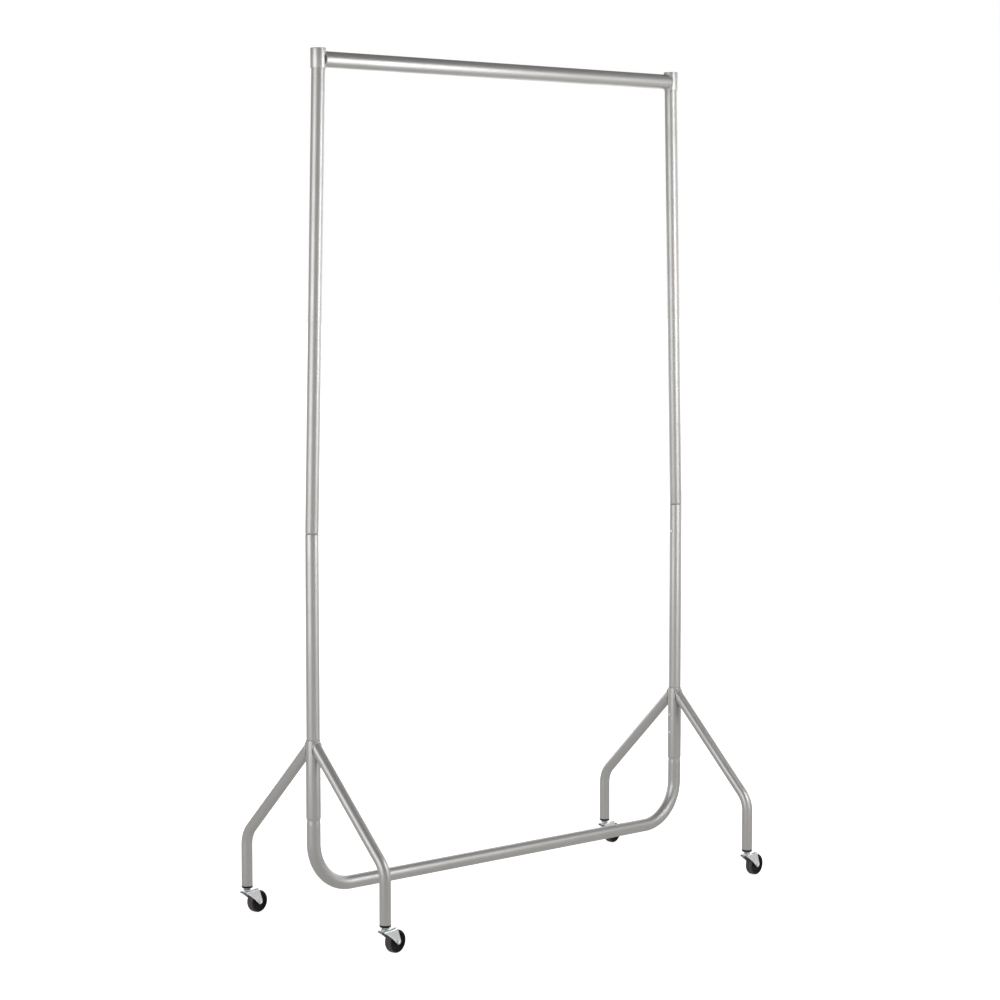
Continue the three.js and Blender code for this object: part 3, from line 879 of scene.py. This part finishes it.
def caster_stem(corner):
    node = f"caster_stem_{corner}"
    low, high = span_of(node)
    race_high = span_of(f"swivel_race_{corner}")[1]
    socket_low = span_of(f"caster_socket_{corner}")[0]
    pin = 4.2 * MM
    head = 6.4 * MM
    bm = turned([
        (0, low, 0),
        (head * 0.6, low, 0.8 * MM),
        (head, low + 1.2 * MM, 0.6 * MM),
        (head, low + 2.7 * MM, 0.2 * MM),
        (pin, low + 2.7 * MM, 0),
        (pin, race_high + 0.1 * MM, 0),
        (head, race_high + 0.1 * MM, 0.3 * MM),
        (head, socket_low - 0.2 * MM, 0.3 * MM),
        (pin, socket_low - 0.2 * MM, 0),
        (pin, high, 0.9 * MM),
        (0, high, 0),
    ], SMALL_SIDES)
    finish_piece(f"{node}_pin", bm, "zinc_plate", "frame", [node], caster_place(corner))


def swivel_race(corner):
    node = f"swivel_race_{corner}"
    low, high = span_of(node)
    outer = 10 * MM
    bore = 4.6 * MM
    bm = turned([
        (bore, high - 0.9 * MM, 0),
        (bore, high, 0.2 * MM),
        (outer - 2.6 * MM, high, 1.6 * MM),
        (outer, low + 0.6 * MM, 0.5 * MM),
        (outer, low, 0.2 * MM),
        (outer - 1.0 * MM, low, 0.2 * MM),
        (outer - 3.2 * MM, high - 0.9 * MM, 0.8 * MM),
    ], SMALL_SIDES)
    finish_piece(f"{node}_cup", bm, "zinc_plate", "frame", [node], caster_place(corner))


for corner in CORNERS:
    caster_socket(corner)
    caster_stem(corner)
    swivel_race(corner)
    caster_fork(corner)
    axle_rivet(corner)
    wheel_core(corner)
    tyre(corner)


# Studio: a pale floor, a white surround for the camera, and soft lights.

rack_middle = (axis_of("left") + axis_of("right")) / 2


def studio_floor():
    bm = bmesh.new()
    bmesh.ops.create_grid(bm, x_segments=1, y_segments=1, size=60)
    mesh = bpy.data.meshes.new("floor")
    bm.to_mesh(mesh)
    bm.free()
    material, nodes, links, shader = new_material("floor")
    place = nodes.new("ShaderNodeTexCoord")
    radius = nodes.new("ShaderNodeVectorMath")
    radius.operation = "LENGTH"
    links.new(place.outputs["Object"], radius.inputs[0])
    glow = spread(nodes, links, radius.outputs["Value"], 0.78, 1.08, 0.85, 1.7)
    links.new(glow.outputs[0], shader.inputs["Emission Strength"])
    shader.inputs["Emission Color"].default_value = (1, 1, 1, 1)
    shader.inputs["Base Color"].default_value = (0.80, 0.80, 0.80, 1)
    shader.inputs["Roughness"].default_value = 1.0
    shader.inputs["Specular IOR Level"].default_value = 0.0
    mesh.materials.append(material)
    floor = bpy.data.objects.new("floor", mesh)
    floor.location.z = -0.0002
    floor.visible_glossy = False
    floor.visible_diffuse = False
    bpy.context.scene.collection.objects.link(floor)


def studio_world():
    """White to the camera, and to everything else grey, lighter at and below the horizon than overhead."""
    world = bpy.data.worlds.new("studio")
    bpy.context.scene.world = world
    world.use_nodes = True
    nodes, links = world.node_tree.nodes, world.node_tree.links
    nodes.clear()
    place = nodes.new("ShaderNodeTexCoord")
    split = nodes.new("ShaderNodeSeparateXYZ")
    links.new(place.outputs["Generated"], split.inputs[0])
    ramp = nodes.new("ShaderNodeMapRange")
    ramp.inputs["From Min"].default_value = -0.1
    ramp.inputs["From Max"].default_value = 0.6
    ramp.inputs["To Min"].default_value = 0.565
    ramp.inputs["To Max"].default_value = 0.20
    links.new(split.outputs["Z"], ramp.inputs["Value"])
    surround = nodes.new("ShaderNodeBackground")
    surround.inputs["Color"].default_value = (1, 0.985, 0.965, 1)
    links.new(ramp.outputs[0], surround.inputs["Strength"])
    white = nodes.new("ShaderNodeBackground")
    white.inputs["Color"].default_value = (1, 1, 1, 1)
    path = nodes.new("ShaderNodeLightPath")
    mix = nodes.new("ShaderNodeMixShader")
    links.new(path.outputs["Is Camera Ray"], mix.inputs[0])
    links.new(surround.outputs[0], mix.inputs[1])
    links.new(white.outputs[0], mix.inputs[2])
    output = nodes.new("ShaderNodeOutputWorld")
    links.new(mix.outputs[0], output.inputs["Surface"])


def softbox(name, place, size, power):
    """An area light at a place relative to the rack's middle on the floor, facing the rack."""
    data = bpy.data.lights.new(name, "AREA")
    data.shape = "RECTANGLE"
    data.size, data.size_y = size
    data.energy = power
    light = bpy.data.objects.new(name, data)
    light.location = rack_middle + Vector(place)
    aim = rack_middle + Vector((0, 0, place[2])) - light.location
    light.rotation_euler = aim.to_track_quat("-Z", "Y").to_euler()
    light.visible_camera = False
    bpy.context.scene.collection.objects.link(light)


def studio_camera():
    """The camera stands off the rack's front left, a little above its middle."""
    offset = Vector((-4.489, -5.003, 1.580))
    azimuth, elevation = math.radians(41.80), math.radians(-4.868)
    aim = Vector((math.sin(azimuth) * math.cos(elevation), math.cos(azimuth) * math.cos(elevation),
                  math.sin(elevation)))
    data = bpy.data.cameras.new("camera")
    data.lens = 96.66
    data.sensor_width = 36
    data.clip_start = 0.1
    data.clip_end = 200
    camera = bpy.data.objects.new("camera", data)
    camera.location = rack_middle + offset
    camera.rotation_euler = aim.to_track_quat("-Z", "Y").to_euler()
    bpy.context.scene.collection.objects.link(camera)
    bpy.context.scene.camera = camera


studio_floor()
studio_world()
softbox("key_softbox", (0.68, -1.85, 1.85), (1.0, 1.6), 20)
softbox("low_softbox", (0.75, -1.85, 0.60), (1.0, 0.9), 3.5)
softbox("right_softbox", (2.5, -2.2, 1.9), (1.8, 1.6), 6.5)
softbox("side_softbox", (-5.0, -0.1, 2.05), (4.2, 3.3), 90)
softbox("far_softbox", (4.6, 0.3, 2.0), (3.2, 2.8), 32)
softbox("rear_softbox", (1.0, 1.9, 1.0), (3.4, 1.6), 20)
studio_camera()
bpy.context.scene.view_settings.view_transform = "Standard"
